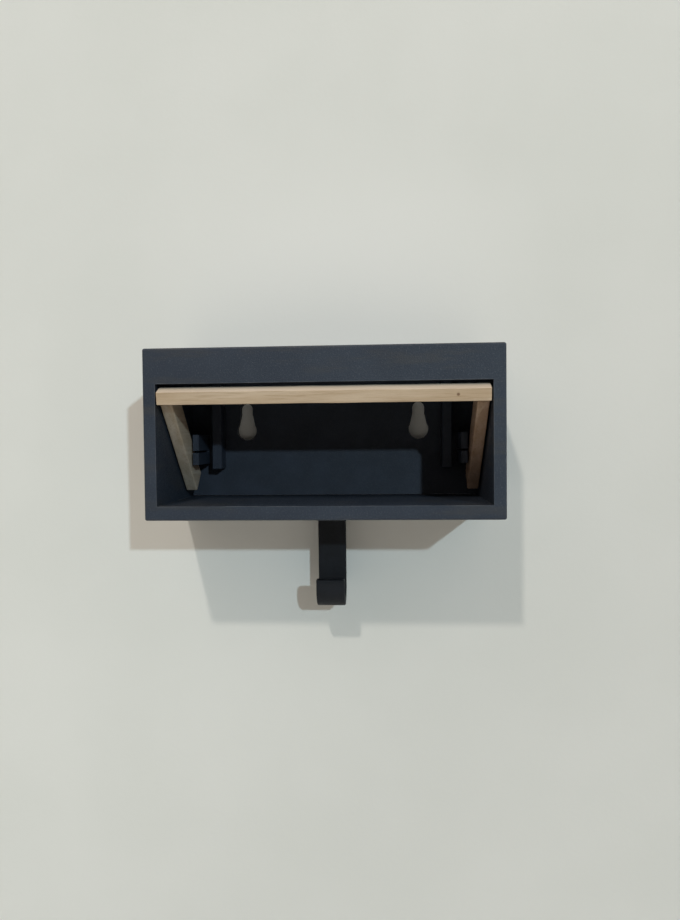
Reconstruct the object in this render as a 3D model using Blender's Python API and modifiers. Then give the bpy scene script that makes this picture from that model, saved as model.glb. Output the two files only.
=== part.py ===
"""Wall-hung display case for one toy car, with a wooden bar that swings down and a key hook.

Frame: X to the right, Y into the wall, Z up, metres. The origin is the middle of the back
face, which lies flat on the wall at Y = 0. The front of the case is at Y = -DEPTH.
"""

from math import asin, cos, pi, radians, sin

import bmesh
import bpy
from mathutils import Matrix, Vector

# ---- Driving dimensions, in metres ----

WIDTH = 0.125
DEPTH = 0.050
HEIGHT = 0.060
SIDE_WALL = 0.0044
FLOOR_THICK = 0.0050
TOP_THICK = 0.0044
FASCIA_HEIGHT = 0.0124
FASCIA_THICK = 0.0044
CASE_EDGE = 0.0007

GAP = 0.0003
SCREW_GAP = 0.0002

PANEL_THICK = 0.0030
KEYHOLE_X = 0.0350
KEYHOLE_HEAD_Z = 0.0017
KEYHOLE_HEAD_R = 0.0040
KEYHOLE_SLOT_R = 0.00245
KEYHOLE_TAPER_END_Z = 0.0081
KEYHOLE_SLOT_TOP_Z = 0.0103

BATTEN_X = 0.04585
BATTEN_WIDTH = 0.0039
BATTEN_THICK = 0.0073
BATTEN_BOTTOM_Z = -0.0137

CATCH_INNER_X = 0.0482
CATCH_FIN_X = 0.0501
CATCH_OUTER_X = 0.0524
CATCH_REACH = 0.0192
CATCH_FOOT = 0.0018
CATCH_BOTTOM_Z = -0.0115
CATCH_TOP_Z = 0.0001
CATCH_SLIT_Z = -0.0065
CATCH_SLIT = 0.0008

PLANK_HALF_LENGTH = 0.0574
PLANK_FRONT_TOP = (-DEPTH - 0.0015, 0.0146)
PLANK_FACE = 0.0045
PLANK_FACE_TILT = radians(10.0)
PLANK_BEVEL = 0.0041
PLANK_BEVEL_TILT = radians(27.5)
PLANK_BACK_Y = -0.0463
PLANK_BACK_LOW_Z = 0.0106
PLANK_BACK_TOP_Z = 0.01675
LEG_THICK = 0.0042
LEG_WIDTH = 0.0095
LEG_TILT = radians(45.0)
LEG_HEEL = 0.0047
LEG_TOP_Z = 0.0160
BAR_EDGE = 0.0004
PIVOT = (-0.0139, -0.0154)
PIN_R = 0.00125
PIN_HOLE_R = 0.0015
PIN_HEAD_R = 0.0026
PIN_HEAD = 0.0012
PIN_TIP_X = 0.0543
DOWEL_R = 0.0009
DOWEL_Z = 0.0132
DOWEL_IN_PLANK = 0.0028
DOWEL_IN_LEG = 0.0040
LEG_X = PLANK_HALF_LENGTH - LEG_THICK / 2

HOOK_WIDTH = 0.0110
HOOK_THICK = 0.0035
HOOK_BACK_Y = -0.0062
HOOK_FOOT_LENGTH = 0.0138
HOOK_FOOT_THICK = 0.0032
HOOK_CURL_Z = -0.0600
HOOK_CURL_R = 0.0075
HOOK_LIP_TOP_Z = -0.0562
HOOK_EDGE = 0.0005
HOOK_SCREW_X = 0.0026
HOOK_SCREW_Y = -0.0150

SCREW_R = 0.0008
SCREW_HEAD_R = 0.0018
SCREW_LENGTH = 0.0078
PANEL_SCREW_ROWS = (("low", -0.0090), ("high", 0.0210))

# ---- Sizes worked out from the driving dimensions ----

HALF_W = WIDTH / 2
HALF_H = HEIGHT / 2
INNER_HALF_W = HALF_W - SIDE_WALL
FLOOR_TOP_Z = -HALF_H + FLOOR_THICK
CEILING_Z = HALF_H - TOP_THICK
OPENING_TOP_Z = HALF_H - FASCIA_HEIGHT
PANEL_FRONT_Y = -PANEL_THICK
ROUND_SIDES = 40
SIDES = (("left", -1), ("right", 1))

PRINTED_CASE = {"name": "slate_print", "color": (0.045, 0.052, 0.068), "roughness": 0.62}
PRINTED_DARK = {"name": "black_print", "color": (0.022, 0.025, 0.032), "roughness": 0.60}
PALE_WOOD = {"name": "pale_wood", "color": (0.60, 0.48, 0.35), "roughness": 0.70}
STEEL = {"name": "steel", "color": (0.42, 0.42, 0.43), "roughness": 0.35, "metallic": 1.0}


# ---- Scene, collections and materials ----

def clear_scene():
    for obj in list(bpy.data.objects):
        bpy.data.objects.remove(obj, do_unlink=True)


def new_collection(name):
    collection = bpy.data.collections.new(name)
    bpy.context.scene.collection.children.link(collection)
    return collection


def new_material(node_name, finish):
    material = bpy.data.materials.new(f"{node_name}_{finish['name']}")
    material.use_nodes = True
    shader = material.node_tree.nodes["Principled BSDF"]
    shader.inputs["Base Color"].default_value = (*finish["color"], 1.0)
    shader.inputs["Roughness"].default_value = finish["roughness"]
    shader.inputs["Metallic"].default_value = finish.get("metallic", 0.0)
    material.diffuse_color = (*finish["color"], 1.0)
    return material


def add_object(name, mesh, collection, finish=None):
    obj = bpy.data.objects.new(name, mesh)
    collection.objects.link(obj)
    if finish:
        mesh.materials.append(new_material(name, finish))
    return obj


def make_cutter(name, mesh):
    cutter = add_object(name, mesh, CUTTERS)
    cutter.hide_render = True
    cutter.display_type = "WIRE"
    return cutter


# ---- Shapes ----

def box_mesh(name, low, high):
    """A box between two corners."""
    bm = bmesh.new()
    bmesh.ops.create_cube(bm, size=1.0)
    size = Vector(high) - Vector(low)
    middle = (Vector(high) + Vector(low)) / 2
    bmesh.ops.scale(bm, vec=size, verts=bm.verts)
    bmesh.ops.translate(bm, vec=middle, verts=bm.verts)
    mesh = bpy.data.meshes.new(name)
    bm.to_mesh(mesh)
    bm.free()
    return mesh


def cone_mesh(name, start, end, start_r, end_r):
    """A round bar or cone from one point to another."""
    bm = bmesh.new()
    run = Vector(end) - Vector(start)
    bmesh.ops.create_cone(
        bm,
        cap_ends=True,
        segments=ROUND_SIDES,
        radius1=start_r,
        radius2=end_r,
        depth=run.length,
    )
    turn = run.to_track_quat("Z", "Y").to_matrix().to_4x4()
    place = Matrix.Translation((Vector(start) + Vector(end)) / 2)
    bmesh.ops.transform(bm, matrix=place @ turn, verts=bm.verts)
    mesh = bpy.data.meshes.new(name)
    bm.to_mesh(mesh)
    bm.free()
    return mesh


def outline_mesh(name, outline, thickness, place):
    """A flat closed outline, extruded evenly to both sides of its own plane."""
    curve = bpy.data.curves.new(name, "CURVE")
    curve.dimensions = "2D"
    curve.fill_mode = "BOTH"
    curve.extrude = thickness / 2
    spline = curve.splines.new("POLY")
    spline.points.add(len(outline) - 1)
    for point, (across, up) in zip(spline.points, outline):
        point.co = (across, up, 0.0, 1.0)
    spline.use_cyclic_u = True
    guide = bpy.data.objects.new(name + "_outline", curve)
    bpy.context.scene.collection.objects.link(guide)
    depsgraph = bpy.context.evaluated_depsgraph_get()
    mesh = bpy.data.meshes.new_from_object(guide.evaluated_get(depsgraph))
    mesh.name = name
    bpy.data.objects.remove(guide, do_unlink=True)
    bpy.data.curves.remove(curve)
    bm = bmesh.new()
    bm.from_mesh(mesh)
    bmesh.ops.remove_doubles(bm, verts=bm.verts, dist=0.000001)
    bmesh.ops.transform(bm, matrix=place, verts=bm.verts)
    bmesh.ops.recalc_face_normals(bm, faces=bm.faces)
    bm.to_mesh(mesh)
    bm.free()
    return mesh


def arc(centre, radius, start_deg, end_deg, steps):
    """Points on an arc, both ends included."""
    points = []
    for step in range(steps + 1):
        angle = radians(start_deg + (end_deg - start_deg) * step / steps)
        points.append((centre[0] + radius * cos(angle), centre[1] + radius * sin(angle)))
    return points


def side_plane(x):
    """Turns an outline drawn as (Y, Z) to stand across the X axis at x."""
    axes = Matrix(((0, 0, 1), (1, 0, 0), (0, 1, 0))).to_4x4()
    return Matrix.Translation((x, 0, 0)) @ axes


def back_plane(y):
    """Turns an outline drawn as (X, Z) to stand across the Y axis at y."""
    axes = Matrix(((1, 0, 0), (0, 0, -1), (0, 1, 0))).to_4x4()
    return Matrix.Translation((0, y, 0)) @ axes


# ---- Modifiers ----

def cut(obj, cutter):
    boolean = obj.modifiers.new("cut_" + cutter.name, "BOOLEAN")
    boolean.operation = "DIFFERENCE"
    boolean.solver = "EXACT"
    boolean.object = cutter


def round_edges(obj, width, segments=2, angle=30.0):
    bevel = obj.modifiers.new("round_edges", "BEVEL")
    bevel.width = width
    bevel.segments = segments
    bevel.limit_method = "ANGLE"
    bevel.angle_limit = radians(angle)
    bevel.use_clamp_overlap = True


def smooth_round(obj):
    obj.data.shade_smooth()
    obj.data.set_sharp_from_angle(angle=radians(35.0))


# ---- Bar geometry, drawn in the (Y, Z) plane ----

def move(point, direction, distance):
    return (point[0] + direction[0] * distance, point[1] + direction[1] * distance)


def meet(point, direction, other, other_direction):
    """Where two lines cross, each given by a point and a direction."""
    gap_y = other[0] - point[0]
    gap_z = other[1] - point[1]
    spread = direction[0] * other_direction[1] - direction[1] * other_direction[0]
    distance = (gap_y * other_direction[1] - gap_z * other_direction[0]) / spread
    return move(point, direction, distance)


BEVEL_RUN = (cos(PLANK_BEVEL_TILT), sin(PLANK_BEVEL_TILT))
FACE_RUN = (sin(PLANK_FACE_TILT), -cos(PLANK_FACE_TILT))
LEG_RUN = (-sin(LEG_TILT), cos(LEG_TILT))
LEG_ACROSS = (cos(LEG_TILT), sin(LEG_TILT))
LEVEL = (1.0, 0.0)
UPRIGHT = (0.0, 1.0)


def plank_section():
    """A stick whose front leans back a little, with a wide bevel along its top front edge."""
    return [
        PLANK_FRONT_TOP,
        move(PLANK_FRONT_TOP, FACE_RUN, PLANK_FACE),
        (PLANK_BACK_Y, PLANK_BACK_LOW_Z),
        (PLANK_BACK_Y, PLANK_BACK_TOP_Z),
        move(PLANK_FRONT_TOP, BEVEL_RUN, PLANK_BEVEL),
    ]


def leg_outline():
    """A square heel below the pivot, a level top, and an upright end behind the plank."""
    front_edge = move(PIVOT, LEG_ACROSS, -LEG_WIDTH / 2)
    rear_edge = move(PIVOT, LEG_ACROSS, LEG_WIDTH / 2)
    end_top = (PLANK_BACK_Y + GAP, LEG_TOP_Z)
    return [
        move(front_edge, LEG_RUN, -LEG_HEEL),
        move(rear_edge, LEG_RUN, -LEG_HEEL),
        meet(rear_edge, LEG_RUN, end_top, LEVEL),
        end_top,
        meet(front_edge, LEG_RUN, end_top, UPRIGHT),
    ]


def dowel_ends():
    """Both ends of a level dowel, from the plank into the end of a leg."""
    front = (PLANK_BACK_Y - DOWEL_IN_PLANK, DOWEL_Z)
    rear = (PLANK_BACK_Y + GAP + DOWEL_IN_LEG, DOWEL_Z)
    return front, rear


# ---- Sub-parts ----

def build_case():
    """Shell: sides, floor, top, and the deep board across the top of the front."""
    shell = box_mesh("case_body", (-HALF_W, -DEPTH, -HALF_H), (HALF_W, 0, HALF_H))
    case = add_object("case_body", shell, PARTS, PRINTED_CASE)
    round_edges(case, CASE_EDGE, segments=3)
    inside = box_mesh(
        "case_inside",
        (-INNER_HALF_W, -DEPTH + FASCIA_THICK, FLOOR_TOP_Z),
        (INNER_HALF_W, DEPTH, CEILING_Z),
    )
    cut(case, make_cutter("case_inside", inside))
    opening = box_mesh(
        "case_opening",
        (-INNER_HALF_W, -2 * DEPTH, FLOOR_TOP_Z),
        (INNER_HALF_W, -DEPTH / 2, OPENING_TOP_Z),
    )
    cut(case, make_cutter("case_opening", opening))
    for side, sign in SIDES:
        pin_holes = pin_hole_cutters(side, sign)
        for hole in pin_holes:
            cut(case, hole)
        screw_x = sign * HOOK_SCREW_X
        top_z = -HALF_H - HOOK_FOOT_THICK + SCREW_LENGTH
        pilot = cone_mesh(
            "hook_pilot_" + side,
            (screw_x, HOOK_SCREW_Y, -HALF_H - HOOK_FOOT_THICK),
            (screw_x, HOOK_SCREW_Y, top_z + SCREW_GAP),
            SCREW_R + SCREW_GAP,
            SCREW_R + SCREW_GAP,
        )
        cut(case, make_cutter("hook_pilot_" + side, pilot))


def pin_hole_cutters(side, sign):
    """The hole for a pivot pin and the flat recess for its head, in one side wall."""
    y, z = PIVOT
    hole = cone_mesh(
        "pin_hole_" + side,
        (sign * (INNER_HALF_W - SIDE_WALL), y, z),
        (sign * (HALF_W + SIDE_WALL), y, z),
        PIN_HOLE_R,
        PIN_HOLE_R,
    )
    recess = cone_mesh(
        "pin_recess_" + side,
        (sign * (HALF_W - PIN_HEAD - 2 * GAP), y, z),
        (sign * (HALF_W + SIDE_WALL), y, z),
        PIN_HEAD_R + GAP,
        PIN_HEAD_R + GAP,
    )
    return make_cutter("pin_hole_" + side, hole), make_cutter("pin_recess_" + side, recess)


def keyhole_outline(sign):
    """A round head that tapers into a narrow slot above it."""
    centre_x = sign * KEYHOLE_X
    head = (centre_x, KEYHOLE_HEAD_Z)
    shoulder = 30.0
    head_arc = arc(head, KEYHOLE_HEAD_R, 180.0 - shoulder, 360.0 + shoulder, 28)
    slot_arc = arc((centre_x, KEYHOLE_SLOT_TOP_Z), KEYHOLE_SLOT_R, 0.0, 180.0, 16)
    taper_right = [(centre_x + KEYHOLE_SLOT_R, KEYHOLE_TAPER_END_Z)]
    taper_left = [(centre_x - KEYHOLE_SLOT_R, KEYHOLE_TAPER_END_Z)]
    return head_arc + taper_right + slot_arc + taper_left


def build_back_panel():
    low = (-INNER_HALF_W + GAP, -PANEL_THICK, FLOOR_TOP_Z + GAP)
    high = (INNER_HALF_W - GAP, 0, CEILING_Z - GAP)
    panel = add_object("back_panel", box_mesh("back_panel", low, high), PARTS, PRINTED_DARK)
    for side, sign in SIDES:
        keyhole = outline_mesh(
            "keyhole_" + side, keyhole_outline(sign), 4 * PANEL_THICK, back_plane(0)
        )
        cut(panel, make_cutter("keyhole_" + side, keyhole))
        for row, z in PANEL_SCREW_ROWS:
            name = f"panel_screw_hole_{side}_{row}"
            x = sign * BATTEN_X
            cut(panel, screw_clearance(name, (x, -GAP, z), (0, -1, 0)))
    return panel


def screw_clearance(name, head_point, direction):
    """A countersunk hole that clears one screw by the usual gap all round."""
    mesh = screw_mesh(name, head_point, direction, grow=SCREW_GAP, proud=2 * GAP)
    return make_cutter(name, mesh)


def screw_mesh(name, head_point, direction, grow=0.0, proud=0.0):
    """A countersunk screw, turned from one profile; grow makes the hole that it fits."""
    length = SCREW_LENGTH + grow
    head_r = SCREW_HEAD_R + grow
    shank_r = SCREW_R + grow
    sink = head_r - shank_r
    profile = [
        (0.0, proud),
        (head_r, proud),
        (head_r, -0.0002),
        (shank_r, -0.0002 - sink),
        (shank_r, -length + SCREW_R),
        (0.0, -length),
    ]
    return turned_mesh(name, profile, head_point, direction)


def turned_mesh(name, profile, base, direction):
    """A closed turned body: a profile of (radius, height) spun with a Screw modifier."""
    mesh = bpy.data.meshes.new(name + "_profile")
    points = [(radius, 0.0, height) for radius, height in profile]
    edges = [(index, index + 1) for index in range(len(profile) - 1)]
    mesh.from_pydata(points, edges, [])
    guide = bpy.data.objects.new(name + "_profile", mesh)
    bpy.context.scene.collection.objects.link(guide)
    screw = guide.modifiers.new("turn", "SCREW")
    screw.axis = "Z"
    screw.steps = ROUND_SIDES // 2
    screw.render_steps = ROUND_SIDES // 2
    screw.use_merge_vertices = True
    screw.merge_threshold = 0.000005
    depsgraph = bpy.context.evaluated_depsgraph_get()
    turned = bpy.data.meshes.new_from_object(guide.evaluated_get(depsgraph))
    turned.name = name
    bpy.data.objects.remove(guide, do_unlink=True)
    bpy.data.meshes.remove(mesh)
    bm = bmesh.new()
    bm.from_mesh(turned)
    bmesh.ops.remove_doubles(bm, verts=bm.verts, dist=0.000005)
    turn = Vector(direction).to_track_quat("Z", "Y").to_matrix().to_4x4()
    flip = Matrix.Rotation(pi, 4, "X")
    place = Matrix.Translation(Vector(base)) @ turn @ flip
    bmesh.ops.transform(bm, matrix=place, verts=bm.verts)
    bmesh.ops.recalc_face_normals(bm, faces=bm.faces)
    bm.to_mesh(turned)
    bm.free()
    return turned


def build_battens():
    for side, sign in SIDES:
        near, far = sorted((
            sign * (BATTEN_X - BATTEN_WIDTH / 2),
            sign * (BATTEN_X + BATTEN_WIDTH / 2),
        ))
        back_y = PANEL_FRONT_Y - GAP
        low = (near, back_y - BATTEN_THICK, BATTEN_BOTTOM_Z)
        high = (far, back_y, CEILING_Z - GAP)
        name = "back_batten_" + side
        batten = add_object(name, box_mesh(name, low, high), PARTS, PRINTED_DARK)
        round_edges(batten, 0.0003, segments=1)
        for row, z in PANEL_SCREW_ROWS:
            hole_name = f"batten_screw_hole_{side}_{row}"
            head_point = (sign * BATTEN_X, -GAP, z)
            cut(batten, screw_clearance(hole_name, head_point, (0, -1, 0)))


def build_leg_catches():
    """A thin fin beside each raised leg, on a foot glued to the back panel."""
    for side, sign in SIDES:
        back_y = PANEL_FRONT_Y - GAP
        front_y = back_y - CATCH_REACH
        outline = [
            (sign * CATCH_INNER_X, back_y),
            (sign * CATCH_OUTER_X, back_y),
            (sign * CATCH_OUTER_X, front_y),
            (sign * CATCH_FIN_X, front_y),
            (sign * CATCH_FIN_X, back_y - CATCH_FOOT),
            (sign * CATCH_INNER_X, back_y - CATCH_FOOT),
        ]
        height = CATCH_TOP_Z - CATCH_BOTTOM_Z
        middle_z = (CATCH_TOP_Z + CATCH_BOTTOM_Z) / 2
        name = "leg_catch_" + side
        mesh = outline_mesh(name, outline, height, Matrix.Translation((0, 0, middle_z)))
        catch = add_object(name, mesh, PARTS, PRINTED_DARK)
        slit = box_mesh(
            "catch_slit_" + side,
            (-HALF_W, -DEPTH, CATCH_SLIT_Z - CATCH_SLIT / 2),
            (HALF_W, back_y - 2 * CATCH_FOOT, CATCH_SLIT_Z + CATCH_SLIT / 2),
        )
        cut(catch, make_cutter("catch_slit_" + side, slit))


def build_bar():
    """The U-shaped bar. Its parent empty lies on the line of the two pivot pins."""
    axis = bpy.data.objects.new("bar_axis", None)
    axis.location = (0, PIVOT[0], PIVOT[1])
    PARTS.objects.link(axis)
    plank_mesh = outline_mesh("bar_plank", plank_section(), 2 * PLANK_HALF_LENGTH, side_plane(0))
    plank = add_object("bar_plank", plank_mesh, PARTS, PALE_WOOD)
    round_edges(plank, BAR_EDGE)
    pieces = [plank]
    front, rear = dowel_ends()
    for side, sign in SIDES:
        x = sign * LEG_X
        leg_mesh = outline_mesh("bar_leg_" + side, leg_outline(), LEG_THICK, side_plane(x))
        leg = add_object("bar_leg_" + side, leg_mesh, PARTS, PALE_WOOD)
        round_edges(leg, BAR_EDGE)
        hole = cone_mesh(
            "leg_pin_hole_" + side,
            (sign * (PIN_TIP_X - GAP), *PIVOT),
            (sign * HALF_W, *PIVOT),
            PIN_HOLE_R,
            PIN_HOLE_R,
        )
        cut(leg, make_cutter("leg_pin_hole_" + side, hole))
        socket = cone_mesh(
            "dowel_socket_" + side,
            dowel_point(x, front, rear, -GAP),
            dowel_point(x, rear, front, -GAP),
            DOWEL_R + SCREW_GAP,
            DOWEL_R + SCREW_GAP,
        )
        socket_cutter = make_cutter("dowel_socket_" + side, socket)
        cut(leg, socket_cutter)
        cut(plank, socket_cutter)
        dowel_name = "bar_dowel_" + side
        dowel_mesh = cone_mesh(dowel_name, (x, *front), (x, *rear), DOWEL_R, DOWEL_R)
        dowel = add_object(dowel_name, dowel_mesh, PARTS, PALE_WOOD)
        smooth_round(dowel)
        pieces += [leg, dowel]
    for piece in pieces:
        piece.data.transform(Matrix.Translation((0, -PIVOT[0], -PIVOT[1])))
        piece.parent = axis


def dowel_point(x, end, other, inset):
    """One end of a dowel's socket, moved along the dowel by inset."""
    start = Vector((x, *end))
    toward = (Vector((x, *other)) - start).normalized()
    return start + toward * inset


def build_pivot_pins():
    """Flat-headed pins, fixed in the side walls, that the legs turn on."""
    y, z = PIVOT
    for side, sign in SIDES:
        head_top = HALF_W - GAP
        profile = [
            (0.0, 0.0),
            (PIN_HEAD_R, 0.0),
            (PIN_HEAD_R, -PIN_HEAD),
            (PIN_R, -PIN_HEAD),
            (PIN_R, PIN_TIP_X - head_top),
            (0.0, PIN_TIP_X - head_top),
        ]
        name = "pivot_pin_" + side
        mesh = turned_mesh(name, profile, (sign * head_top, y, z), (-sign, 0, 0))
        pin = add_object(name, mesh, PARTS, STEEL)
        smooth_round(pin)


def build_panel_screws():
    for side, sign in SIDES:
        for row, z in PANEL_SCREW_ROWS:
            name = f"back_panel_screw_{side}_{row}"
            mesh = screw_mesh(name, (sign * BATTEN_X, -GAP, z), (0, -1, 0))
            smooth_round(add_object(name, mesh, PARTS, STEEL))


def hook_outline():
    """The J of the hook in (Y, Z): foot under the case, strap, and curl to the front."""
    foot_top = -HALF_H - GAP
    foot_under = foot_top - HOOK_FOOT_THICK
    strap_front_y = HOOK_BACK_Y - HOOK_THICK
    centre = (HOOK_BACK_Y - HOOK_CURL_R, HOOK_CURL_Z)
    inner_r = HOOK_CURL_R - HOOK_THICK
    fillet = 0.0015
    outline = [(HOOK_BACK_Y, foot_top)]
    outline.append((HOOK_BACK_Y - HOOK_FOOT_LENGTH, foot_top))
    outline.append((HOOK_BACK_Y - HOOK_FOOT_LENGTH, foot_under))
    corner = (strap_front_y - fillet, foot_under - fillet)
    outline += arc(corner, fillet, 90.0, 0.0, 5)
    outline += arc(centre, inner_r, 0.0, -180.0, 20)
    tip_angle = asin((HOOK_LIP_TOP_Z - HOOK_CURL_Z) / HOOK_CURL_R) * 180.0 / pi
    outline.append((centre[0] - inner_r, HOOK_LIP_TOP_Z))
    outline.append((centre[0] - HOOK_CURL_R * cos(radians(tip_angle) / 4), HOOK_LIP_TOP_Z))
    outline += arc(centre, HOOK_CURL_R, 180.0, 360.0, 28)
    return outline


def build_hook():
    mesh = outline_mesh("key_hook", hook_outline(), HOOK_WIDTH, side_plane(0))
    hook = add_object("key_hook", mesh, PARTS, PRINTED_DARK)
    round_edges(hook, HOOK_EDGE, angle=50.0)
    under_foot = -HALF_H - GAP - HOOK_FOOT_THICK
    for side, sign in SIDES:
        head_point = (sign * HOOK_SCREW_X, HOOK_SCREW_Y, under_foot + GAP)
        cut(hook, screw_clearance("hook_screw_hole_" + side, head_point, (0, 0, 1)))
        name = "hook_screw_" + side
        mesh = screw_mesh(name, head_point, (0, 0, 1))
        smooth_round(add_object(name, mesh, PARTS, STEEL))


clear_scene()
PARTS = new_collection("display_case")
CUTTERS = new_collection("cutters")

build_case()
build_back_panel()
build_battens()
build_leg_catches()
build_bar()
build_pivot_pins()
build_panel_screws()
build_hook()
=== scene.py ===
"""Looks of the wall-hung display case: detailed pieces, materials, light, camera and backdrop.

Everything is in metres in the row frame: X to the right, Y into the wall, Z up, with the
origin in the middle of the back face. Material textures work in millimetres.
"""

from math import asin, cos, pi, radians, sin, tan

import bmesh
import bpy
from mathutils import Matrix, Vector, noise


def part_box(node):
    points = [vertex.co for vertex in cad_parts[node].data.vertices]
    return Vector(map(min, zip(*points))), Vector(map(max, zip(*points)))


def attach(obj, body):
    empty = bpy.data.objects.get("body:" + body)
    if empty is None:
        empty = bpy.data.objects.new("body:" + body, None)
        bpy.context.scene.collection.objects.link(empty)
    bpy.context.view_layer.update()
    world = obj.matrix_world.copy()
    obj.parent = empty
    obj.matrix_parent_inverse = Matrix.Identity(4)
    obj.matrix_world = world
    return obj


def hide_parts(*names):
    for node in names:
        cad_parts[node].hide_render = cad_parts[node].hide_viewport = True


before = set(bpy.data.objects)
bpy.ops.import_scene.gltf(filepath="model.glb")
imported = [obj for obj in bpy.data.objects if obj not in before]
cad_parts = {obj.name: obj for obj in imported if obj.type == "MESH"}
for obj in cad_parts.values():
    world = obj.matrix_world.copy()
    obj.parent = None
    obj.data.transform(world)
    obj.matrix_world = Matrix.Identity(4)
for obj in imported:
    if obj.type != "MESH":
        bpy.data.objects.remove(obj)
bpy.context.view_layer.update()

MM = 0.001
TO_MM = 1000.0
SIDES = (("left", -1), ("right", 1))

# Room light by direction.
CEILING_GLOW = (0.78, 0.685, 0.60, 1.0)
FLOOR_GLOW = (0.20, 0.18, 0.155, 1.0)
AHEAD_SHADE = 0.38

# Print marks in millimetres, for the materials.
LAYER = 0.2
RASTER = 0.42

# Wall and floor round the case, in metres.
WALL_GAP = 0.4 * MM
WALL_REACH = 0.90
WINDOW_RIM = 0.8 * MM
SEAM_HALF = 0.6 * MM
KEYHOLE_MARGIN = 0.3 * MM
FLOOR_DROP = 0.75
FLOOR_REACH = 3.0

# Sizes of the pieces, in metres, in the (Y, Z) plane where a pair is given.
KEYHOLE_X = 0.0350
KEYHOLE_HEAD_Z = 0.0017
KEYHOLE_HEAD_R = 0.0040
KEYHOLE_SLOT_R = 0.00245
KEYHOLE_SLOT_TOP_Z = 0.0103

PLANK_FRONT_TOP = Vector((-0.0515, 0.0146))
PLANK_FACE = 0.0045
PLANK_FACE_TILT = radians(10.0)
PLANK_BEVEL = 0.0041
PLANK_BEVEL_TILT = radians(27.5)
PLANK_BACK_Y = -0.0463
PLANK_BACK_LOW_Z = 0.0106
PLANK_BACK_TOP_Z = 0.01675
PLANK_HALF_LENGTH = 0.0574
PIVOT = Vector((-0.0139, -0.0154))
LEG_X = 0.0553
LEG_THICK = 0.0042
LEG_WIDTH = 0.0095
LEG_HEEL = 0.0047
LEG_TOP_Z = 0.0160
LEG_TILT = radians(45.0)
JOINT_GAP = 0.0003

HOOK_HALF_WIDTH = 0.0055
HOOK_THICK = 0.0035
HOOK_BACK_Y = -0.0062
HOOK_FOOT_FRONT_Y = -0.0200
HOOK_FOOT_TOP_Z = -0.0303
HOOK_FOOT_UNDER_Z = -0.0335
HOOK_CURL_Z = -0.0600
HOOK_CURL_R = 0.0075
HOOK_LIP_TOP_Z = -0.0562

SCREW_R = 0.0008
SCREW_HEAD_R = 0.0018
SCREW_LENGTH = 0.0078
SCREW_HEAD_RIM = 0.0002
SCREW_HEAD_ROUND = 0.0001
SCREW_CLEARANCE = 0.0002
RECESS_LENGTH = 0.0021
RECESS_WIDTH = 0.00055
RECESS_DEPTH = 0.0008
PIN_R = 0.00125
PIN_HEAD_R = 0.0026
PIN_HEAD = 0.0012
PIN_TIP_X = 0.0543
PIN_HOLE_R = 0.0015
PIN_HOLE_END_X = 0.0600
DOWEL_HOLE_R = 0.0011

# Rounded edges and how far sanded faces wander, in metres.
PLANK_ROUND = 0.35 * MM
PLANK_END_ROUND = 0.30 * MM
PLANK_WAVE = 0.16 * MM
LEG_ROUND = 0.50 * MM
LEG_END_ROUND = 0.34 * MM
LEG_WAVE = 0.14 * MM
HOOK_ROUND = 0.6 * MM
HOOK_END_ROUND = 0.45 * MM
HOOK_BEND_R = 1.5 * MM
SHARP_ANGLE = radians(35.0)


# ---- Material helpers ----

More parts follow.
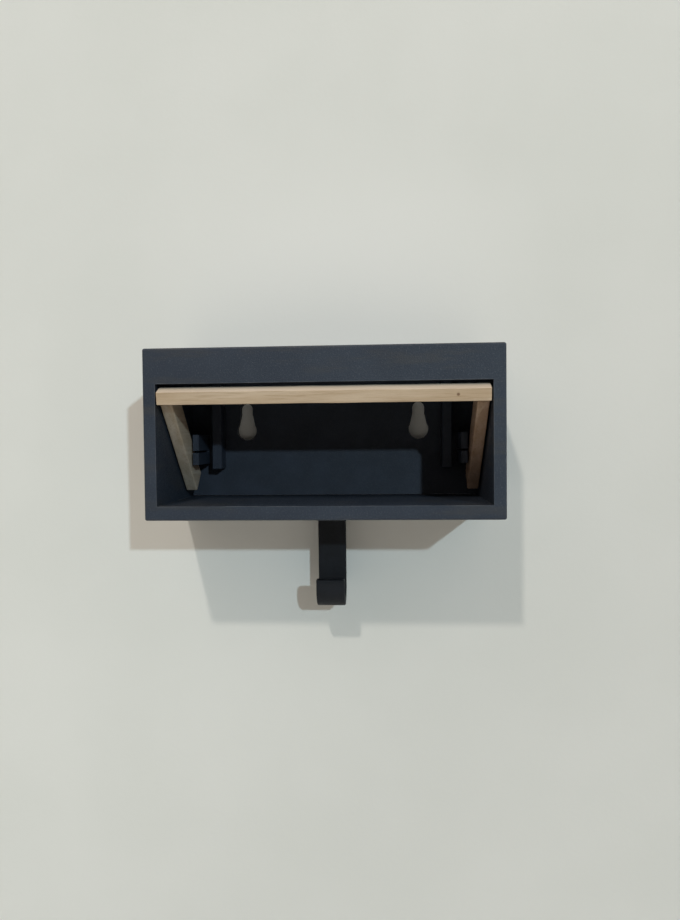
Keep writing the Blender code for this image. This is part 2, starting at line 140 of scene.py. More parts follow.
class Shade:
    """One Principled material, with short calls for the nodes that feed it."""

    def __init__(self, name, roughness=0.6, metallic=0.0, specular=0.5):
        self.material = bpy.data.materials.new(name)
        self.material.use_nodes = True
        self.tree = self.material.node_tree
        self.shader = self.tree.nodes["Principled BSDF"]
        self.shader.inputs["Roughness"].default_value = roughness
        self.shader.inputs["Metallic"].default_value = metallic
        self.shader.inputs["Specular IOR Level"].default_value = specular
        self.coords = self.node("ShaderNodeTexCoord")

    def node(self, kind, **settings):
        """A new node of that kind, with its settings."""
        made = self.tree.nodes.new(kind)
        for key, value in settings.items():
            setattr(made, key, value)
        return made

    def feed(self, source, socket):
        """Links an output to an input, or writes a plain value into it."""
        if isinstance(source, bpy.types.NodeSocket):
            self.tree.links.new(source, socket)
        else:
            socket.default_value = source

    def place(self, stretch=(1.0, 1.0, 1.0), turn=(0.0, 0.0, 0.0), shift=(0.0, 0.0, 0.0)):
        """Object coordinates in millimetres, turned and then divided by a feature size."""
        scaled = self.node("ShaderNodeMapping")
        scaled.inputs["Scale"].default_value = (TO_MM,) * 3
        scaled.inputs["Location"].default_value = shift
        self.tree.links.new(self.coords.outputs["Object"], scaled.inputs["Vector"])
        turned = self.node("ShaderNodeMapping", vector_type="POINT")
        turned.inputs["Rotation"].default_value = turn
        self.tree.links.new(scaled.outputs["Vector"], turned.inputs["Vector"])
        sized = self.node("ShaderNodeMapping", vector_type="POINT")
        sized.inputs["Scale"].default_value = tuple(1.0 / size for size in stretch)
        self.tree.links.new(turned.outputs["Vector"], sized.inputs["Vector"])
        return sized.outputs["Vector"]

    def noise(self, vector, detail=3.0, rough=0.5):
        """Cloudy values round 0.5, with features about one unit of the vector across."""
        made = self.node("ShaderNodeTexNoise")
        self.tree.links.new(vector, made.inputs["Vector"])
        made.inputs["Scale"].default_value = 1.0
        made.inputs["Detail"].default_value = detail
        made.inputs["Roughness"].default_value = rough
        return made.outputs["Fac"]

    def bands(self, vector, direction, distortion):
        """Sine bands across one axis, evenly spaced along the vector."""
        made = self.node("ShaderNodeTexWave", wave_type="BANDS", wave_profile="SIN")
        made.bands_direction = direction
        self.tree.links.new(vector, made.inputs["Vector"])
        made.inputs["Scale"].default_value = 1.0 / pi
        made.inputs["Distortion"].default_value = distortion
        made.inputs["Detail"].default_value = 2.0
        made.inputs["Detail Scale"].default_value = 1.0
        return made.outputs["Fac"]

    def math(self, operation, first, second=0.0):
        made = self.node("ShaderNodeMath", operation=operation)
        self.feed(first, made.inputs[0])
        self.feed(second, made.inputs[1])
        return made.outputs[0]

    def spread(self, value, low, high, to_low=0.0, to_high=1.0):
        """Maps a range of values smoothly to another, clamped."""
        made = self.node("ShaderNodeMapRange", interpolation_type="SMOOTHSTEP", clamp=True)
        self.feed(value, made.inputs["Value"])
        made.inputs["From Min"].default_value = low
        made.inputs["From Max"].default_value = high
        made.inputs["To Min"].default_value = to_low
        made.inputs["To Max"].default_value = to_high
        return made.outputs["Result"]

    def mix(self, factor, first, second, blend="MIX"):
        """Blends two colours; the factor is the share of the second."""
        made = self.node("ShaderNodeMix", data_type="RGBA", blend_type=blend)
        self.feed(factor, made.inputs[0])
        self.feed(rgba(first), made.inputs[6])
        self.feed(rgba(second), made.inputs[7])
        return made.outputs[2]

    def axis(self, vector, name):
        """One coordinate of a vector."""
        made = self.node("ShaderNodeSeparateXYZ")
        self.tree.links.new(vector, made.inputs["Vector"])
        return made.outputs[name]

    def facing(self, name):
        """1 where the surface looks along that axis, either way, and 0 elsewhere."""
        turned = self.math("ABSOLUTE", self.axis(self.coords.outputs["Normal"], name))
        return self.spread(turned, 0.6, 0.9)

    def edge(self, radius):
        """1 on an edge, fading to 0 at that distance from it."""
        rounded = self.node("ShaderNodeBevel", samples=6)
        rounded.inputs["Radius"].default_value = radius
        flat = self.node("ShaderNodeNewGeometry")
        dot = self.node("ShaderNodeVectorMath", operation="DOT_PRODUCT")
        self.tree.links.new(rounded.outputs["Normal"], dot.inputs[0])
        self.tree.links.new(flat.outputs["Normal"], dot.inputs[1])
        return self.spread(dot.outputs["Value"], 0.995, 0.86)

    def bump(self, height, depth_mm, under=None):
        """Relief of that depth, on top of any relief under it."""
        made = self.node("ShaderNodeBump")
        self.tree.links.new(height, made.inputs["Height"])
        made.inputs["Distance"].default_value = depth_mm * MM
        if under is not None:
            self.tree.links.new(under, made.inputs["Normal"])
        return made.outputs["Normal"]

    def finish(self, color, normal=None, roughness=None):
        """Feeds the shader and gives the material back."""
        self.feed(rgba(color), self.shader.inputs["Base Color"])
        if normal is not None:
            self.feed(normal, self.shader.inputs["Normal"])
        if roughness is not None:
            self.feed(roughness, self.shader.inputs["Roughness"])
        return self.material


def rgba(color):
    """A colour of three numbers gets its fourth. A link to a node stays as it is."""
    if isinstance(color, tuple) and len(color) == 3:
        return (*color, 1.0)
    return color


# ---- Materials of the object ----

def slate_print():
    """Dark slate-blue printed plastic: pebbled front face, layer lines on the other sides."""
    m = Shade("slate_print", roughness=0.55, specular=0.42)
    cloud = m.noise(m.place((22.0,) * 3), detail=4.0)
    color = m.mix(m.spread(cloud, 0.35, 0.7), (0.0168, 0.0265, 0.0452), (0.0235, 0.0348, 0.0556))
    speck = m.noise(m.place((0.55,) * 3), detail=2.0, rough=0.7)
    color = m.mix(m.spread(speck, 0.52, 0.78, 0.0, 0.5), color, (0.085, 0.098, 0.118))
    smear = m.noise(m.place((30.0, 30.0, 5.0)), detail=4.0, rough=0.6)
    color = m.mix(m.spread(smear, 0.48, 0.70, 0.0, 0.55), color, (0.040, 0.042, 0.046))
    patch = m.noise(m.place((6.0,) * 3), detail=3.0)
    worn = m.math("MULTIPLY", m.edge(0.5 * MM), m.spread(patch, 0.38, 0.62, 0.25, 1.0))
    color = m.mix(m.math("MULTIPLY", worn, 0.75), color, (0.12, 0.135, 0.155))
    front = m.facing("Y")
    pebble = m.math("MULTIPLY", m.noise(m.place((0.42,) * 3), detail=3.0, rough=0.6), front)
    layers = m.bands(m.place((LAYER,) * 3), "Y", distortion=0.4)
    layers = m.math("MULTIPLY", layers, m.math("SUBTRACT", 1.0, front))
    normal = m.bump(pebble, 0.10)
    normal = m.bump(layers, 0.018, under=normal)
    rough = m.spread(speck, 0.3, 0.75, 0.62, 0.44)
    return m.finish(color, normal, rough)


def black_print():
    """Blue-black printed plastic with a fine raster on the faces along the wall."""
    m = Shade("black_print", roughness=0.6, specular=0.4)
    cloud = m.noise(m.place((9.0,) * 3), detail=3.0)
    color = m.mix(m.spread(cloud, 0.35, 0.7), (0.018, 0.026, 0.042), (0.024, 0.033, 0.053))
    grain = m.noise(m.place((0.35,) * 3), detail=2.0)
    color = m.mix(m.spread(grain, 0.55, 0.8, 0.0, 0.35), color, (0.055, 0.062, 0.072))
    raster = m.bands(m.place((RASTER,) * 3, turn=(0.0, radians(45.0), 0.0)), "X", distortion=0.5)
    flat = m.facing("Y")
    layers = m.bands(m.place((LAYER,) * 3), "X", distortion=0.3)
    relief = m.mix(flat, layers, raster)
    normal = m.bump(relief, 0.02)
    normal = m.bump(grain, 0.03, under=normal)
    return m.finish(color, normal, m.spread(grain, 0.3, 0.7, 0.66, 0.5))


def hook_print():
    """Near-black plastic printed on its side, so its layers are planes across X."""
    m = Shade("hook_print", roughness=0.6, specular=0.28)
    cloud = m.noise(m.place((6.0,) * 3), detail=3.0)
    color = m.mix(m.spread(cloud, 0.35, 0.7), (0.0052, 0.0072, 0.0112), (0.0082, 0.0108, 0.0160))
    worn = m.edge(0.4 * MM)
    color = m.mix(m.math("MULTIPLY", worn, 0.35), color, (0.06, 0.065, 0.072))
    layers = m.bands(m.place((LAYER,) * 3), "X", distortion=0.5)
    side = m.facing("X")
    layers = m.math("MULTIPLY", layers, m.math("SUBTRACT", 1.0, side))
    grain = m.noise(m.place((0.4,) * 3), detail=2.0)
    normal = m.bump(layers, 0.03)
    normal = m.bump(grain, 0.03, under=normal)
    return m.finish(color, normal, m.spread(grain, 0.3, 0.7, 0.66, 0.54))


def pale_wood(name, turn, shift, knots=(), tone=(1.0, 1.0, 1.0), bevel=0.0):
    """Sanded pale wood. After turn, its grain runs along X. Each stick has its own tone, a tint that
    paints light and shade on it, and bevel is the share of painted light on faces that look up.
    """
    m = Shade(name, roughness=0.62, specular=0.35)
    along = m.place((1.0,) * 3, turn=turn, shift=shift)
    broad = m.noise(m.place((34.0, 3.0, 3.0), turn=turn, shift=shift), detail=3.0)
    streak = m.noise(m.place((14.0, 0.7, 0.7), turn=turn, shift=shift), detail=4.0, rough=0.6)
    fibre = m.noise(m.place((5.0, 0.16, 0.16), turn=turn, shift=shift), detail=3.0, rough=0.7)
    color = m.mix(m.spread(broad, 0.3, 0.7), (0.60, 0.475, 0.345), (0.50, 0.375, 0.25))
    color = m.mix(m.spread(streak, 0.48, 0.72, 0.0, 0.65), color, (0.40, 0.285, 0.175))
    color = m.mix(m.spread(fibre, 0.55, 0.8, 0.0, 0.45), color, (0.33, 0.225, 0.135))
    color = m.mix(m.spread(fibre, 0.45, 0.2, 0.0, 0.30), color, (0.70, 0.58, 0.44))
    for spot, size in knots:
        centre = m.node("ShaderNodeVectorMath", operation="DISTANCE")
        m.tree.links.new(along, centre.inputs[0])
        centre.inputs[1].default_value = spot
        mark = m.spread(centre.outputs["Value"], size, size * 0.4)
        color = m.mix(m.math("MULTIPLY", mark, 0.85), color, (0.16, 0.085, 0.045))
    worn = m.edge(0.45 * MM)
    color = m.mix(m.math("MULTIPLY", worn, 0.35), color, (0.74, 0.63, 0.50))
    # The tone tint paints light and shade onto the stick; it is not the wood's own colour.
    color = m.mix(1.0, color, tone, blend="MULTIPLY")
    # Painted light: faces that look up are lightened by the share bevel, as if lit from above.
    up = m.spread(m.axis(m.coords.outputs["Normal"], "Z"), 0.35, 0.75, 0.0, bevel)
    color = m.mix(up, color, (0.86, 0.77, 0.67))
    normal = m.bump(fibre, 0.05)
    normal = m.bump(streak, 0.08, under=normal)
    return m.finish(color, normal, m.spread(fibre, 0.3, 0.75, 0.56, 0.72))


def zinc_steel():
    """Zinc-plated steel with faint turning marks and dull patches."""
    m = Shade("steel", roughness=0.32, metallic=1.0)
    patch = m.noise(m.place((1.1,) * 3), detail=3.0)
    color = m.mix(m.spread(patch, 0.35, 0.7), (0.46, 0.46, 0.47), (0.34, 0.345, 0.355))
    scratch = m.noise(m.place((0.08, 1.4, 0.08)), detail=2.0)
    normal = m.bump(scratch, 0.01)
    return m.finish(color, normal, m.spread(patch, 0.3, 0.75, 0.26, 0.46))


# ---- Backdrop ----

def stage_plane(name, low, high, material):
    """A flat rectangle between two corners that share one coordinate."""
    first, second = (axis for axis in range(3) if high[axis] != low[axis])
    corners = []
    for use_first, use_second in ((0, 0), (1, 0), (1, 1), (0, 1)):
        point = list(low)
        point[first] = (low, high)[use_first][first]
        point[second] = (low, high)[use_second][second]
        corners.append(point)
    mesh = bpy.data.meshes.new(name)
    mesh.from_pydata(corners, [], [(0, 1, 2, 3)])
    mesh.materials.append(material)
    plane = bpy.data.objects.new(name, mesh)
    bpy.context.scene.collection.objects.link(plane)


def stage_patch(name, outline, y, material):
    """A flat piece of wall with the given outline in (X, Z)."""
    mesh = bpy.data.meshes.new(name)
    points = [(across, y, up) for across, up in outline]
    mesh.from_pydata(points, [], [tuple(range(len(points)))])
    mesh.materials.append(material)
    patch = bpy.data.objects.new(name, mesh)
    bpy.context.scene.collection.objects.link(patch)


def keyhole_outline(sign, grow):
    """The pear shape of a keyhole, a little larger all round."""
    x = sign * KEYHOLE_X
    head = arc((x, KEYHOLE_HEAD_Z), KEYHOLE_HEAD_R + grow, 150.0, 390.0, 40)
    slot = arc((x, KEYHOLE_SLOT_TOP_Z), KEYHOLE_SLOT_R + grow, 0.0, 180.0, 24)
    return head + slot


def wall_paint():
    """Pale matt paint with a faint roller texture, painted shade that darkens it towards the lower
    right, and a painted pool of light round the top of the case. Its back is clear, so it hides nothing.
    """
    m = Shade("wall_paint", roughness=0.9, specular=0.2)
    tone = m.noise(m.place((70.0,) * 3), detail=3.0)
    color = m.mix(m.spread(tone, 0.3, 0.7), (0.775, 0.785, 0.750), (0.805, 0.812, 0.780))
    # Painted shade: the wall darkens towards the lower right, where the light falls off.
    painted_falloff = m.math("SUBTRACT", m.axis(m.coords.outputs["Object"], "X"),
                  m.axis(m.coords.outputs["Object"], "Z"))
    color = m.mix(m.spread(painted_falloff, -0.02, 0.22, 0.0, 0.20), color, (0.50, 0.50, 0.49))
    # Painted light: a lighter pool of light on the wall round the top of the case.
    from_top = m.node("ShaderNodeVectorMath", operation="DISTANCE")
    m.tree.links.new(m.coords.outputs["Object"], from_top.inputs[0])
    from_top.inputs[1].default_value = (0.0, 0.0, 0.035)
    painted_light_pool = m.spread(from_top.outputs["Value"], 0.11, 0.03, 0.0, 0.85)
    color = m.mix(painted_light_pool, color, (0.90, 0.90, 0.87))
    roller = m.noise(m.place((2.4,) * 3), detail=3.0)
    m.finish(color, m.bump(roller, 0.05))
    clear = m.node("ShaderNodeBsdfTransparent")
    side = m.node("ShaderNodeNewGeometry")
    either = m.node("ShaderNodeMixShader")
    m.tree.links.new(side.outputs["Backfacing"], either.inputs[0])
    m.tree.links.new(m.shader.outputs[0], either.inputs[1])
    m.tree.links.new(clear.outputs[0], either.inputs[2])
    m.tree.links.new(either.outputs[0], m.tree.nodes["Material Output"].inputs["Surface"])
    return m.material


def floor_paint():
    """Pale, nearly even floor."""
    m = Shade("pale_floor", roughness=0.8, specular=0.2)
    tone = m.noise(m.place((90.0,) * 3), detail=2.0)
    color = m.mix(m.spread(tone, 0.3, 0.7), (0.66, 0.665, 0.65), (0.67, 0.675, 0.66))
    return m.finish(color)


def build_stage():
    """A wall with a window behind the case, small pieces of wall behind its openings, and a floor."""
    low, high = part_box("case_body")
    wall_y = high.y + WALL_GAP
    floor_z = low.z - FLOOR_DROP
    left, right = low.x + WINDOW_RIM, high.x - WINDOW_RIM
    bottom, top = low.z + WINDOW_RIM, high.z - WINDOW_RIM
    reach = WALL_REACH
    paint = wall_paint()
    stage_plane("wall_left", (-reach, wall_y, floor_z), (left, wall_y, reach), paint)
    stage_plane("wall_right", (right, wall_y, floor_z), (reach, wall_y, reach), paint)
    stage_plane("wall_below", (left, wall_y, floor_z), (right, wall_y, bottom), paint)
    stage_plane("wall_above", (left, wall_y, top), (right, wall_y, reach), paint)
    panel_low, panel_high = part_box("back_panel")
    for name, x, z in (
        ("seam_left", (panel_low.x, panel_low.x), (panel_low.z, panel_high.z)),
        ("seam_right", (panel_high.x, panel_high.x), (panel_low.z, panel_high.z)),
        ("seam_below", (panel_low.x, panel_high.x), (panel_low.z, panel_low.z)),
        ("seam_above", (panel_low.x, panel_high.x), (panel_high.z, panel_high.z)),
    ):
        low_corner = (x[0] - SEAM_HALF, wall_y, z[0] - SEAM_HALF)
        high_corner = (x[1] + SEAM_HALF, wall_y, z[1] + SEAM_HALF)
        stage_plane(name, low_corner, high_corner, paint)
    for side, sign in SIDES:
        stage_patch("wall_keyhole_" + side, keyhole_outline(sign, KEYHOLE_MARGIN), wall_y, paint)
    floor = FLOOR_REACH
    stage_plane("floor", (-floor, -floor, floor_z), (floor, floor, floor_z), floor_paint())


# ---- Light and camera ----

def build_world():
    """A bright ceiling over a dimmer floor, with a darker patch of room straight ahead."""
    world = bpy.data.worlds.new("studio")
    world.use_nodes = True
    tree = world.node_tree
    coords = tree.nodes.new("ShaderNodeTexCoord")
    way = tree.nodes.new("ShaderNodeSeparateXYZ")
    tree.links.new(coords.outputs["Generated"], way.inputs["Vector"])
    height = tree.nodes.new("ShaderNodeMapRange")
    height.interpolation_type = "SMOOTHSTEP"
    tree.links.new(way.outputs["Z"], height.inputs["Value"])
    height.inputs["From Min"].default_value = -0.10
    height.inputs["From Max"].default_value = 0.72
    room = tree.nodes.new("ShaderNodeMix")
    room.data_type = "RGBA"
    tree.links.new(height.outputs["Result"], room.inputs[0])
    room.inputs[6].default_value = FLOOR_GLOW
    room.inputs[7].default_value = CEILING_GLOW
    ahead = tree.nodes.new("ShaderNodeMapRange")
    ahead.interpolation_type = "SMOOTHSTEP"
    tree.links.new(way.outputs["Y"], ahead.inputs["Value"])
    ahead.inputs["From Min"].default_value = -0.94
    ahead.inputs["From Max"].default_value = -0.50
    ahead.inputs["To Min"].default_value = AHEAD_SHADE
    background = tree.nodes["Background"]
    tree.links.new(room.outputs[2], background.inputs["Color"])
    tree.links.new(ahead.outputs["Result"], background.inputs["Strength"])
    bpy.context.scene.world = world


def build_lights():
    """A cool low light from the right and a warm high one from the left: two shadows."""
    low_light = bpy.data.lights.new("low_light", "SUN")
    low_light.energy = 1.00
    low_light.color = (0.70, 0.90, 1.0)
    low_light.angle = radians(1.6)
    place_light(low_light, direction=direction_from(azimuth=25.4, elevation=18.0), distance=2.0)

    high_light = bpy.data.lights.new("high_light", "AREA")
    high_light.shape = "DISK"
    high_light.size = 0.09
    high_light.energy = 12.9
    high_light.color = (1.0, 0.93, 0.84)
    place_light(high_light, direction=direction_from(azimuth=-14.0, elevation=42.0), distance=2.27)


def direction_from(azimuth, elevation):
    """The way towards a light: azimuth to the viewer's right of the wall's normal."""
    a, e = radians(azimuth), radians(elevation)
    return Vector((sin(a) * cos(e), -cos(a) * cos(e), sin(e)))


def place_light(light, direction, distance):
    """Puts a light that way from the case, shining at it."""
    lamp = bpy.data.objects.new(light.name, light)
    lamp.location = direction * distance
    lamp.rotation_mode = "QUATERNION"
    lamp.rotation_quaternion = direction.to_track_quat("Z", "Y")
    bpy.context.scene.collection.objects.link(lamp)


def build_camera():
    """Level with the case, a little right of its middle, looking slightly left and down."""
    data = bpy.data.cameras.new("camera")
    data.sensor_width = 36.0
    data.lens = 28.25
    data.clip_start = 0.01
    data.clip_end = 20.0
    camera = bpy.data.objects.new("camera", data)
    left, down, roll = radians(3.573), radians(1.704), radians(-0.582)
    look = Matrix.Rotation(left, 4, "Z") @ Matrix.Rotation(pi / 2 - down, 4, "X")
    camera.matrix_world = (
        Matrix.Translation((0.0214, -0.2964, -0.0019)) @ look @ Matrix.Rotation(roll, 4, "Z")
    )
    bpy.context.scene.collection.objects.link(camera)
    bpy.context.scene.camera = camera
    bpy.context.scene.view_settings.view_transform = "Standard"


# ---- Mesh helpers ----

def arc(centre, radius, start_deg, end_deg, steps):
    """Points on an arc, both ends included."""
    points = []
    for step in range(steps + 1):
        angle = radians(start_deg + (end_deg - start_deg) * step / steps)
        points.append(Vector((centre[0] + radius * cos(angle), centre[1] + radius * sin(angle))))
    return points


def fillet(corners, radius, steps=5):
    """A closed outline through the corners, with each corner rounded."""
    rounded = []
    for index, corner in enumerate(corners):
        back = (corners[index - 1] - corner).normalized()
        ahead = (corners[(index + 1) % len(corners)] - corner).normalized()
        half = back.angle(ahead) / 2
        run = radius / tan(half)
        centre = corner + (back + ahead).normalized() * (radius / sin(half))
        start = corner + back * run - centre
        end = corner + ahead * run - centre
        for step in range(steps + 1):
            spoke = start.lerp(end, step / steps).normalized() * radius
            rounded.append(centre + spoke)
    return rounded


def refine(outline, longest):
    """The same closed outline with its long spans cut into even steps."""
    points = []
    for index, point in enumerate(outline):
        following = outline[(index + 1) % len(outline)]
        steps = max(1, round((following - point).length / longest))
        points += [point.lerp(following, step / steps) for step in range(steps)]
    return points


def outward(outline):
    """The outward normal at each point of a closed outline."""
    count = len(outline)
    area = sum(
        outline[i].x * outline[(i + 1) % count].y - outline[(i + 1) % count].x * outline[i].y
        for i in range(count)
    )
    turn = 1.0 if area > 0 else -1.0
    normals = []
    for index in range(count):
        tangent = outline[(index + 1) % count] - outline[index - 1]
        normals.append(Vector((tangent.y, -tangent.x)).normalized() * turn)
    return normals


def stations(half, radius, longest, steps=5):
    """(x, inset) pairs across a piece that is half wide each way, with rounded ends."""
    end = []
    for step in range(steps + 1):
        angle = pi / 2 * step / steps
        end.append((half - radius + radius * sin(angle), radius - radius * cos(angle)))
    flat = half - radius
    count = max(1, round(2 * flat / longest))
    middle = [(-flat + 2 * flat * step / count, 0.0) for step in range(1, count)]
    return [(-x, inset) for x, inset in reversed(end)] + middle + end


def solid_across_x(name, outline, across, centre_x=0.0, wobble=None):
    """A closed body: an outline in (Y, Z) swept along X, drawn in by the inset at each station."""
    normals = outward(outline)
    verts = []
    for x, inset in across:
        for point, normal in zip(outline, normals):
            depth = inset
            if wobble:
                depth += wobble(centre_x + x, point, normal)
            moved = point - normal * depth
            verts.append((centre_x + x, moved.x, moved.y))
    count = len(outline)
    faces = []
    for ring in range(len(across) - 1):
        for index in range(count):
            after = (index + 1) % count
            faces.append((
                ring * count + index,
                ring * count + after,
                (ring + 1) * count + after,
                (ring + 1) * count + index,
            ))
    faces.append(tuple(range(count)))
    faces.append(tuple((len(across) - 1) * count + index for index in range(count)))
    return closed_object(name, verts, faces)


def turned(name, profile, base, direction, sides=64):
    """A closed turned body: (radius, height) pairs from pole to pole, height along direction."""
    axis = Vector(direction).normalized()
    side = axis.orthogonal().normalized()
    front = axis.cross(side)
    origin = Vector(base)
    verts = [tuple(origin + axis * profile[0][1])]
    for radius, height in profile[1:-1]:
        for step in range(sides):
            angle = 2 * pi * step / sides
            spoke = side * cos(angle) + front * sin(angle)
            verts.append(tuple(origin + axis * height + spoke * radius))
    verts.append(tuple(origin + axis * profile[-1][1]))
    rings = len(profile) - 2
    faces = []
    for step in range(sides):
        after = (step + 1) % sides
        faces.append((0, 1 + step, 1 + after))
        for ring in range(rings - 1):
            first = 1 + ring * sides
            second = first + sides
            faces.append((first + step, first + after, second + after, second + step))
        last = 1 + (rings - 1) * sides
        faces.append((last + step, last + after, len(verts) - 1))
    return closed_object(name, verts, faces)


def closed_object(name, verts, faces):
    """An object from a closed mesh, with every face turned outwards."""
    mesh = bpy.data.meshes.new(name)
    mesh.from_pydata(verts, [], faces)
    bm = bmesh.new()
    bm.from_mesh(mesh)
    bmesh.ops.recalc_face_normals(bm, faces=bm.faces)
    bm.to_mesh(mesh)
    bm.free()
    obj = bpy.data.objects.new(name, mesh)
    bpy.context.scene.collection.objects.link(obj)
    return obj


def carve(obj, cutters):
    """Takes the cutters out of the piece for good, then deletes them."""
    for cutter in cutters:
        boolean = obj.modifiers.new(cutter.name, "BOOLEAN")
        boolean.operation = "DIFFERENCE"
        boolean.solver = "EXACT"
        boolean.object = cutter
    depsgraph = bpy.context.evaluated_depsgraph_get()
    mesh = bpy.data.meshes.new_from_object(obj.evaluated_get(depsgraph))
    obj.modifiers.clear()
    obj.data = mesh
    for cutter in cutters:
        bpy.data.objects.remove(cutter, do_unlink=True)


def smooth(obj):
    """Smooth shading, with the real edges kept sharp."""
    obj.data.shade_smooth()
    obj.data.set_sharp_from_angle(angle=SHARP_ANGLE)


def stand_for(obj, node, body, material):
    """The finished piece takes the place of a CAD node and moves with its body."""
    obj.data.materials.clear()
    obj.data.materials.append(material)
    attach(obj, body)
    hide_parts(node)


def unevenness(amount, length, seed):
    """Hand-sanded wood is never quite straight: a slow, shallow wave in every face."""
    def wobble(x, point, normal):
        place = Vector((x / length, point.x / length + seed, point.y / length))
        place += Vector((0.0, normal.x, normal.y)) * 0.8
        return amount * (0.5 + 0.5 * noise.noise(place))
    return wobble


# ---- Pieces ----

def plank_corners():
    """A stick with a leaning front and a wide bevel along its top front edge."""
    face = Vector((sin(PLANK_FACE_TILT), -cos(PLANK_FACE_TILT))) * PLANK_FACE
    bevel = Vector((cos(PLANK_BEVEL_TILT), sin(PLANK_BEVEL_TILT))) * PLANK_BEVEL
    return [
        PLANK_FRONT_TOP,
        PLANK_FRONT_TOP + face,
        Vector((PLANK_BACK_Y, PLANK_BACK_LOW_Z)),
        Vector((PLANK_BACK_Y, PLANK_BACK_TOP_Z)),
        PLANK_FRONT_TOP + bevel,
    ]


def cross_point(point, direction, other, other_direction):
    """Where two lines cross."""
    gap = other - point
    spread = direction.x * other_direction.y - direction.y * other_direction.x
    distance = (gap.x * other_direction.y - gap.y * other_direction.x) / spread
    return point + direction * distance


def leg_corners():
    """Square heel, level top, and an upright end behind the plank."""
    along = Vector((-sin(LEG_TILT), cos(LEG_TILT)))
    across = Vector((cos(LEG_TILT), sin(LEG_TILT))) * (LEG_WIDTH / 2)
    end_top = Vector((PLANK_BACK_Y + JOINT_GAP, LEG_TOP_Z))
    level, upright = Vector((1.0, 0.0)), Vector((0.0, 1.0))
    return [
        PIVOT - across - along * LEG_HEEL,
        PIVOT + across - along * LEG_HEEL,
        cross_point(PIVOT + across, along, end_top, level),
        end_top,
        cross_point(PIVOT - across, along, end_top, upright),
    ]


def rod(name, start, end, radius):
    """A round cutter."""
    axis = Vector(end) - Vector(start)
    profile = [(0.0, 0.0), (radius, 0.0), (radius, axis.length), (0.0, axis.length)]
    return turned(name, profile, start, axis, sides=48)


def dowel_hole(side):
    """The hole of the dowel that runs from the plank into a leg."""
    low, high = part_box("bar_dowel_" + side)
    middle = (low + high) / 2
    reach = Vector((0.0, (high.y - low.y) / 2 + JOINT_GAP, 0.0))
    return rod("dowel_hole", middle - reach, middle + reach, DOWEL_HOLE_R)


def build_plank():
    """The cross bar. Its wood is given back, for the dowels."""
    outline = refine(fillet(plank_corners(), PLANK_ROUND), 0.5 * MM)
    across = stations(PLANK_HALF_LENGTH, PLANK_END_ROUND, 1.0 * MM)
    wave = unevenness(PLANK_WAVE, 13.0 * MM, 2.0)
    plank = solid_across_x("wood_plank", outline, across, wobble=wave)
    carve(plank, [dowel_hole(side) for side, sign in SIDES])
    smooth(plank)
    knot = ((49.2, -51.0, 12.6), 0.75)
    # bevel=0.42 paints light onto the plank's upward faces, its top and bevel.
    wood = pale_wood("plank_wood", (0.0, 0.0, 0.0), (3.0, 0.0, 0.0), knots=(knot,), bevel=0.42)
    stand_for(plank, "bar_plank", "bar", wood)
    return wood


def build_legs():
    """Both legs, each with its own stretch of grain and its own tone: a tint of painted light and shade,
    greyer and cooler on the left, darker and redder on the right.
    """
    for side, sign in SIDES:
        x = sign * LEG_X
        outline = refine(fillet(leg_corners(), LEG_ROUND), 0.9 * MM)
        across = stations(LEG_THICK / 2, LEG_END_ROUND, 0.7 * MM)
        wave = unevenness(LEG_WAVE, 11.0 * MM, 5.0 + sign)
        leg = solid_across_x("wood_leg_" + side, outline, across, x, wave)
        pin_hole = rod(
            "pin_hole",
            (sign * (PIN_TIP_X - JOINT_GAP), *PIVOT),
            (sign * PIN_HOLE_END_X, *PIVOT),
            PIN_HOLE_R,
        )
        carve(leg, [pin_hole, dowel_hole(side)])
        smooth(leg)
        shift = (40.0, 9.0, 2.0) if sign < 0 else (90.0, 5.0, 7.0)
        # Painted light and shade: the left leg is tinted greyer and cooler as if in cool light, the
        # right leg darker and redder as if in shade with a reddish painted reflection.
        tone = (0.88, 0.95, 1.05) if sign < 0 else (0.80, 0.71, 0.71)
        turn = (0.0, LEG_TILT, radians(90.0))
        wood = pale_wood("leg_wood_" + side, turn, shift, tone=tone)
        stand_for(leg, "bar_leg_" + side, "bar", wood)


def hook_outline():
    """The J of the hook: foot under the case, strap, and curl to the front."""
    strap_front = HOOK_BACK_Y - HOOK_THICK
    centre = (HOOK_BACK_Y - HOOK_CURL_R, HOOK_CURL_Z)
    inner_r = HOOK_CURL_R - HOOK_THICK
    bend = HOOK_BEND_R
    nose = HOOK_ROUND
    outline = arc((HOOK_BACK_Y - nose, HOOK_FOOT_TOP_Z - nose), nose, 0.0, 90.0, 4)
    outline += arc((HOOK_FOOT_FRONT_Y + nose, HOOK_FOOT_TOP_Z - nose), nose, 90.0, 180.0, 4)
    outline += arc((HOOK_FOOT_FRONT_Y + nose, HOOK_FOOT_UNDER_Z + nose), nose, 180.0, 270.0, 4)
    outline += arc((strap_front - bend, HOOK_FOOT_UNDER_Z - bend), bend, 90.0, 0.0, 10)
    outline += arc(centre, inner_r, 0.0, -180.0, 48)
    tip_inner = (centre[0] - inner_r - nose, HOOK_LIP_TOP_Z - nose)
    outline += arc(tip_inner, nose, 0.0, 90.0, 4)
    tip = asin((HOOK_LIP_TOP_Z - HOOK_CURL_Z - nose) / HOOK_CURL_R)
    tip_outer = (centre[0] - HOOK_CURL_R * cos(tip / 4) + nose, HOOK_LIP_TOP_Z - nose)
    outline += arc(tip_outer, nose, 90.0, 170.0, 4)
    outline += arc(centre, HOOK_CURL_R, 180.0, 360.0, 64)
    return outline


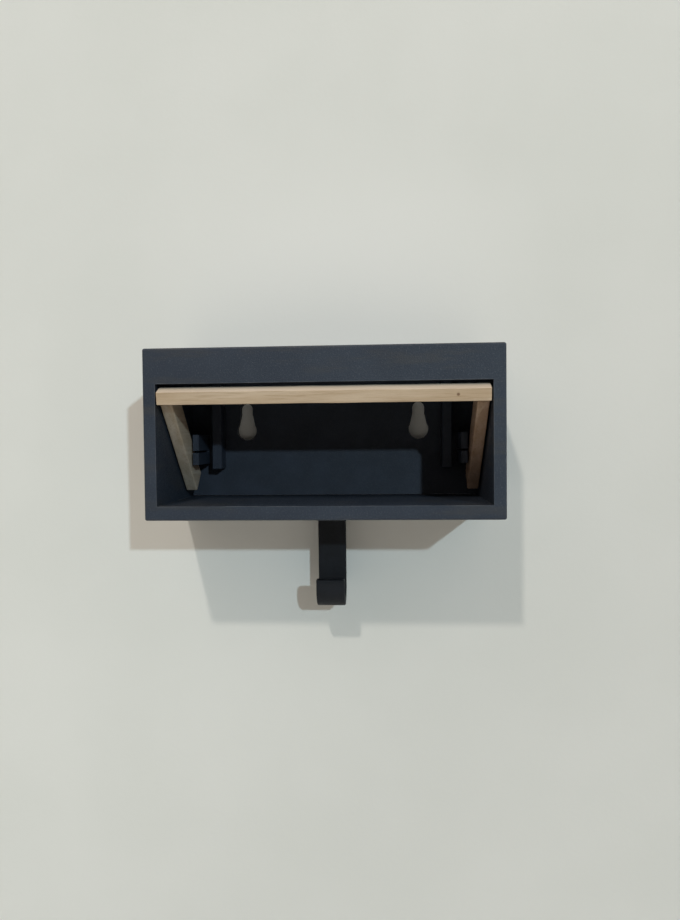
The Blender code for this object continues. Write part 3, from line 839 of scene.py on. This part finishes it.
def build_hook():
    """The hook, with countersunk holes for its two screws."""
    outline = refine(hook_outline(), 1.2 * MM)
    across = stations(HOOK_HALF_WIDTH, HOOK_END_ROUND, 2.0 * MM, steps=6)
    hook = solid_across_x("hook", outline, across)
    holes = []
    for side, sign in SIDES:
        low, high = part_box("hook_screw_" + side)
        middle = (low + high) / 2
        head = (middle.x, middle.y, low.z)
        hole = screw_profile(SCREW_CLEARANCE, 0.6 * MM)
        holes.append(turned("screw_hole", hole, head, (0, 0, -1)))
    carve(hook, holes)
    smooth(hook)
    stand_for(hook, "key_hook", "case", hook_print())


def screw_profile(grow=0.0, proud=0.0):
    """Countersunk head and plain shank, with the height measured out from the head's face.

    A hole's profile is grown by its clearance and stands proud of the face that it cuts.
    """
    head_r = SCREW_HEAD_R + grow
    shank_r = SCREW_R + grow
    length = SCREW_LENGTH + grow
    sink = head_r - shank_r
    rim = 0.0 if proud else SCREW_HEAD_ROUND
    return [
        (0.0, proud),
        (head_r - rim, proud),
        (head_r, -rim),
        (head_r, -SCREW_HEAD_RIM),
        (shank_r, -SCREW_HEAD_RIM - sink),
        (shank_r, -length + shank_r),
        (0.0, -length),
    ]


def slot_cutter(head, out, long_way):
    """One pair of arms of a cross recess, narrower at its bottom."""
    wide_way = out.cross(long_way)
    verts = []
    for height, taper in ((0.2 * MM, 1.1), (-RECESS_DEPTH, 0.55)):
        for s, t in ((-1, -1), (1, -1), (1, 1), (-1, 1)):
            point = head + out * height
            point += long_way * (s * RECESS_LENGTH / 2 * taper)
            point += wide_way * (t * RECESS_WIDTH / 2 * taper)
            verts.append(tuple(point))
    faces = [(0, 1, 2, 3), (4, 5, 6, 7)]
    faces += [(i, (i + 1) % 4, 4 + (i + 1) % 4, 4 + i) for i in range(4)]
    return closed_object("slot_cutter", verts, faces)


def build_screws(material):
    """Countersunk screws with a cross recess, each one turned to its own angle."""
    names = [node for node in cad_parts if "screw" in node]
    for index, node in enumerate(sorted(names)):
        low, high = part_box(node)
        middle = (low + high) / 2
        if node.startswith("hook"):
            out, head = Vector((0, 0, -1)), Vector((middle.x, middle.y, low.z))
        else:
            out, head = Vector((0, 1, 0)), Vector((middle.x, high.y, middle.z))
        screw = turned(node.replace("screw", "fixing"), screw_profile(), head, out)
        turn = Matrix.Rotation(radians(17.0 + 31.0 * index), 3, out)
        first = turn @ Vector((1.0, 0.0, 0.0))
        second = out.cross(first)
        carve(screw, [slot_cutter(head, out, way) for way in (first, second)])
        smooth(screw)
        stand_for(screw, node, "case", material)


def build_pins(material):
    """Pins with a rounded head and a shallow centre mark."""
    for side, sign in SIDES:
        node = "pivot_pin_" + side
        low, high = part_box(node)
        head_x = high.x if sign > 0 else -low.x
        length = head_x - PIN_TIP_X
        profile = [
            (0.0, -0.25 * MM),
            (0.45 * MM, -0.05 * MM),
            (0.65 * MM, 0.0),
            (PIN_HEAD_R - 0.40 * MM, 0.0),
            (PIN_HEAD_R - 0.12 * MM, -0.10 * MM),
            (PIN_HEAD_R, -0.35 * MM),
            (PIN_HEAD_R, -PIN_HEAD),
            (PIN_R, -PIN_HEAD),
            (PIN_R, -length + 0.3 * MM),
            (PIN_R - 0.3 * MM, -length),
            (0.0, -length),
        ]
        pin = turned("pin_" + side, profile, (sign * head_x, *PIVOT), (sign, 0, 0))
        smooth(pin)
        stand_for(pin, node, "case", material)


# ---- Put it together ----

def dress(node, material):
    """Gives a CAD piece that stays in view its material."""
    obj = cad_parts[node]
    obj.data.materials.clear()
    obj.data.materials.append(material)


build_camera()
build_world()
build_lights()
build_stage()

slate = slate_print()
black = black_print()
steel = zinc_steel()
dress("case_body", slate)
for part in ("back_panel", "back_batten_left", "back_batten_right", "leg_catch_left", "leg_catch_right"):
    dress(part, black)
plank_wood = build_plank()
for part in ("bar_dowel_left", "bar_dowel_right"):
    dress(part, plank_wood)
build_legs()
build_hook()
build_screws(steel)
build_pins(steel)
